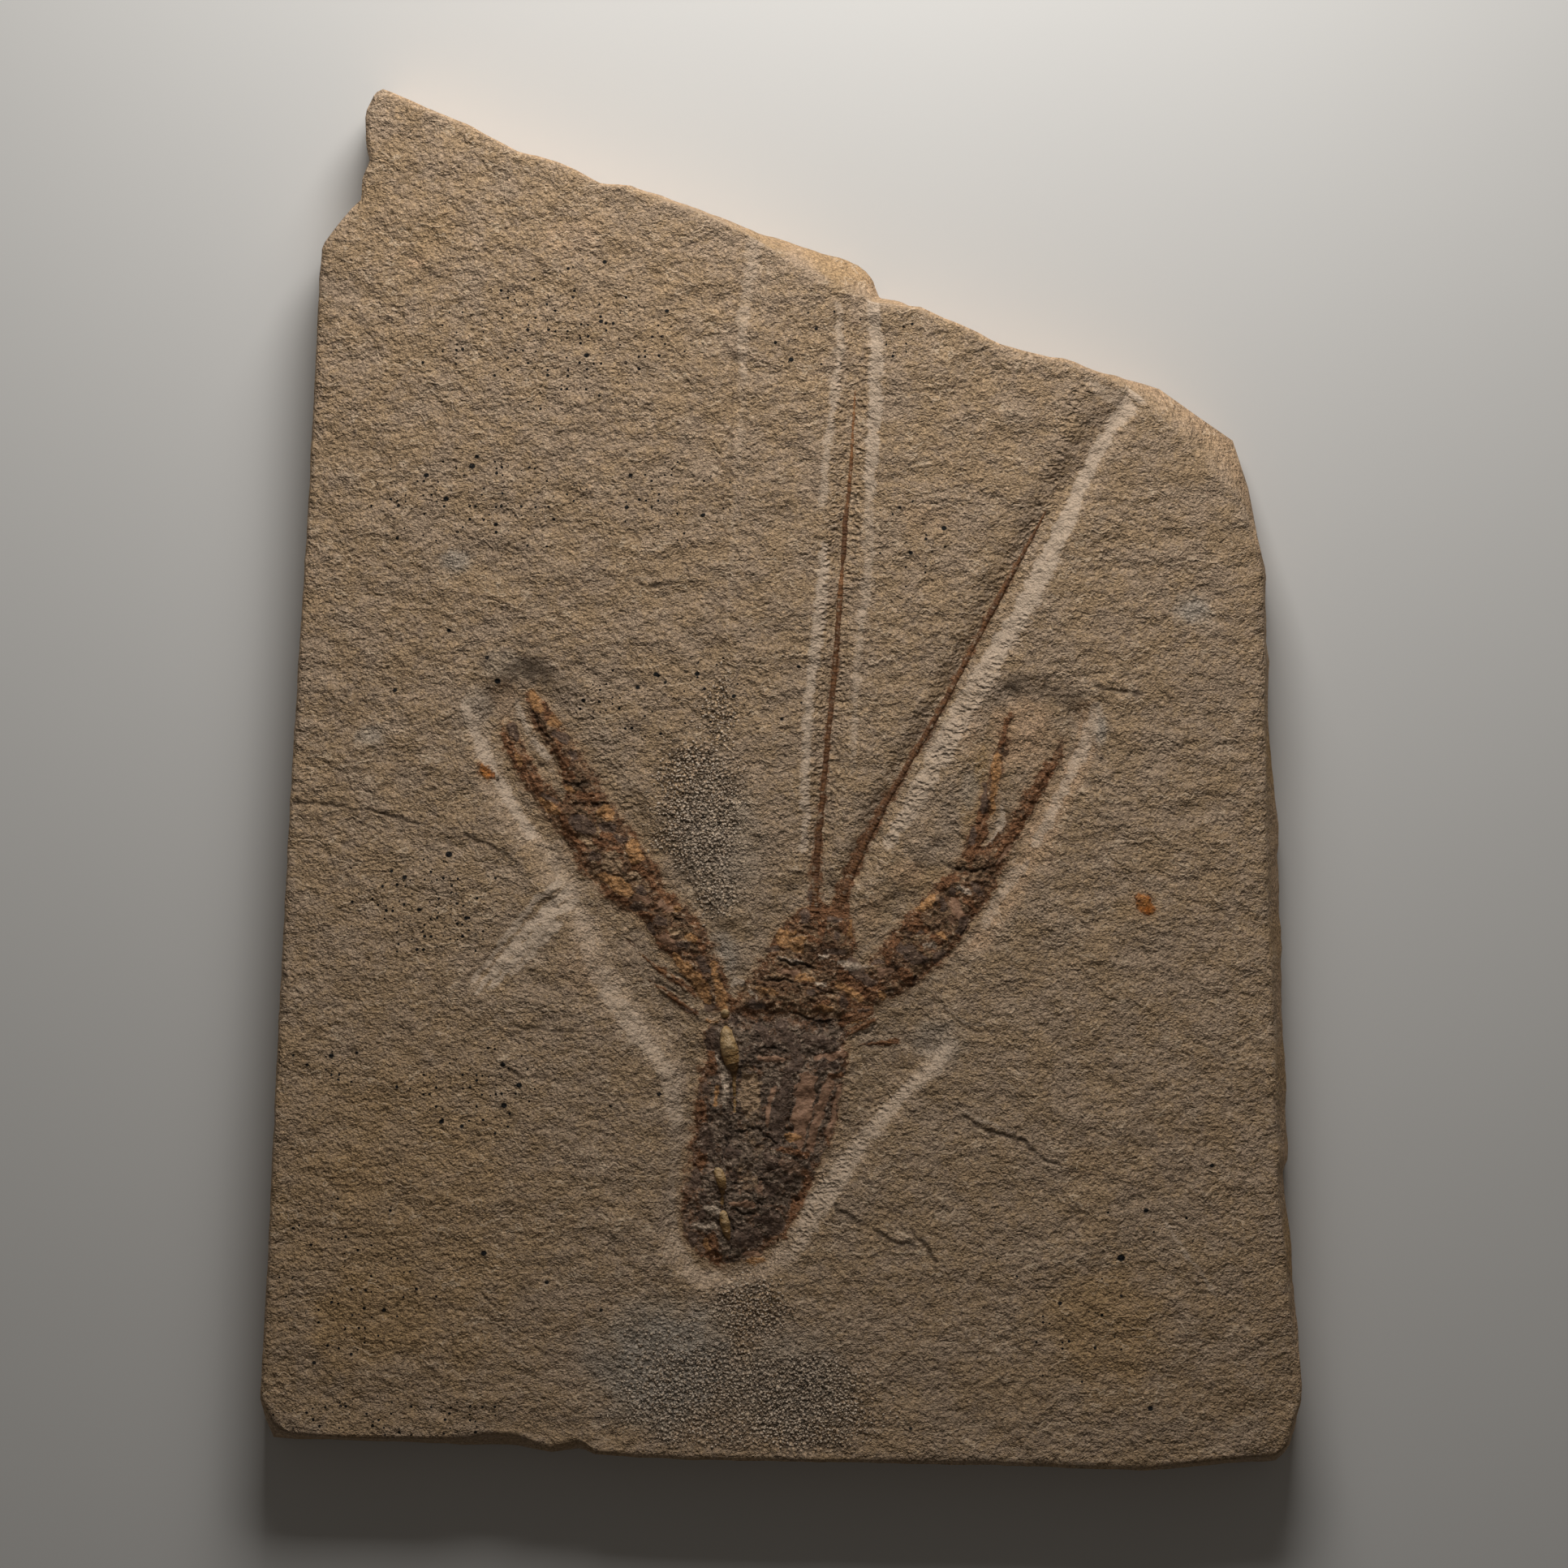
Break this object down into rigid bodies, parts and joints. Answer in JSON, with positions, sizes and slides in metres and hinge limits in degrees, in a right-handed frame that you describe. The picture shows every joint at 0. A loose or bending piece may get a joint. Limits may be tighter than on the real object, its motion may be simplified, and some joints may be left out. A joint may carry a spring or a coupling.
{
  "type": "fossil lobster on a limestone slab",
  "caption": "Clawed lobster fossil in relief in a worked hollow on a flat slab of fine limestone, with long antennae in worked channels.",
  "frame": {"origin": "on the flat underside, under the middle of the slab's outline", "axes": "+X to the lobster's right in the view from above, +Y from its body towards its antennae, +Z out of the fossil face"},
  "size_m": [0.2, 0.2648, 0.0161],
  "materials": {
    "limestone": "fine-grained tan limestone, rough broken grain, paler where tooled",
    "dark_shell": "dark purple-brown fossil shell, dull with rusty rims",
    "rust_shell": "rust-brown fossil shell with grey-brown middles",
    "calcite": "honey-coloured calcite, smooth and slightly waxy",
    "amber_shell": "orange-brown scrap of shell, slightly glossy"
  },
  "bodies": {
    "root": {"slab": "limestone", "carapace": "dark_shell", "head": "rust_shell", "left_claw": "rust_shell", "right_claw": "rust_shell", "left_antenna": "rust_shell", "right_antenna": "rust_shell", "left_leg_front": "rust_shell", "left_leg_rear": "rust_shell", "right_leg_front": "rust_shell", "right_leg_rear": "rust_shell", "calcite_seam": "calcite", "left_shell_chip": "amber_shell", "right_shell_chip": "amber_shell"}
  },
  "joints": []
}
